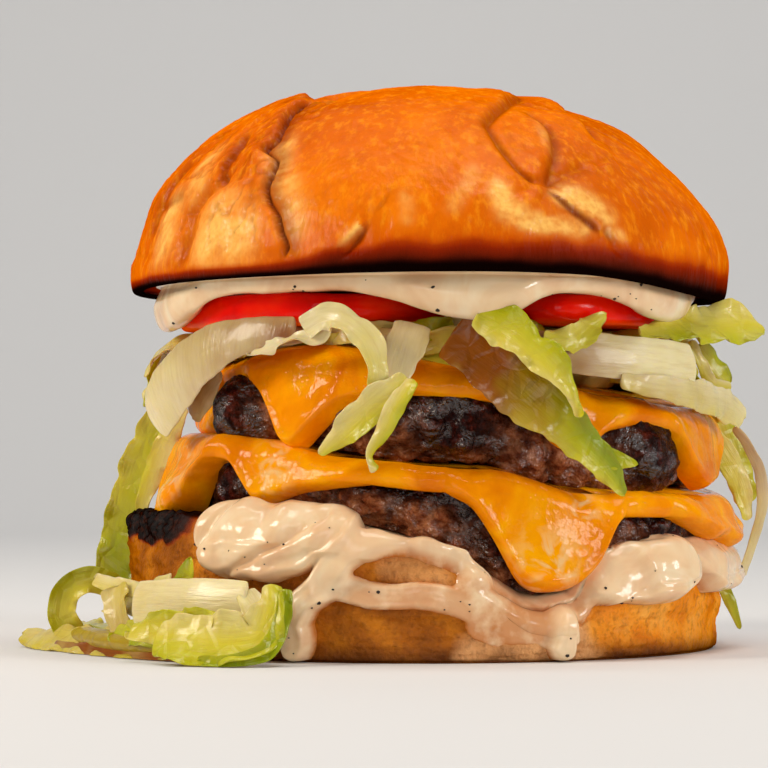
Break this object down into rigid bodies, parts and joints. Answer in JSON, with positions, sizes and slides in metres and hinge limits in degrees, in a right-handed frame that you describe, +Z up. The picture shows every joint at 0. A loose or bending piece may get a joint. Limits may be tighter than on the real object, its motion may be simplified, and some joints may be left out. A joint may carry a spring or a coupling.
{
  "type": "double cheeseburger",
  "caption": "Tall burger in a glazed soft bun, with seared beef patties under melted cheese, shredded lettuce, tomato and a pale sauce that runs down the bottom bun.",
  "frame": {"origin": "centre of the bottom bun's flat underside, on the table", "axes": "+Z up through the stack, -Y towards the front, +X to the right as seen from the front"},
  "size_m": [0.1403, 0.1216, 0.1069],
  "materials": {
    "bun_glazed": "egg-washed baked bun, satin gloss, dark at the rim",
    "bun_crumb": "soft toasted bread, matte",
    "beef": "seared ground beef, dark crust with wet fat",
    "cheese": "melted processed cheese, smooth and glossy",
    "sauce": "mayonnaise-based sauce with pepper, wet gloss",
    "tomato": "raw tomato slice, wet",
    "lettuce": "shredded iceberg lettuce, pale ribs and green edges"
  },
  "bodies": {
    "root": {"bottom_bun": "bun_crumb", "lower_sauce": "sauce", "lower_patty": "beef", "lower_cheese": "cheese", "upper_patty": "beef", "upper_cheese": "cheese", "lettuce_bed": "lettuce", "tomato_left": "tomato", "tomato_right": "tomato", "upper_sauce": "sauce", "top_bun": "bun_glazed", "lettuce_left_rib": "lettuce", "lettuce_left_fall": "lettuce", "lettuce_front_curl": "lettuce", "lettuce_front_tip": "lettuce", "lettuce_front_tail": "lettuce", "lettuce_front_long": "lettuce", "lettuce_front_short": "lettuce", "lettuce_right_rib": "lettuce", "lettuce_right_leaf": "lettuce", "lettuce_right_curl": "lettuce", "lettuce_right_lower": "lettuce", "lettuce_right_fall": "lettuce", "lettuce_right_strand": "lettuce", "lettuce_right_tail": "lettuce", "lettuce_rear_right": "lettuce", "lettuce_rear": "lettuce", "lettuce_rear_left": "lettuce", "lettuce_heap": "lettuce"}
  },
  "joints": []
}
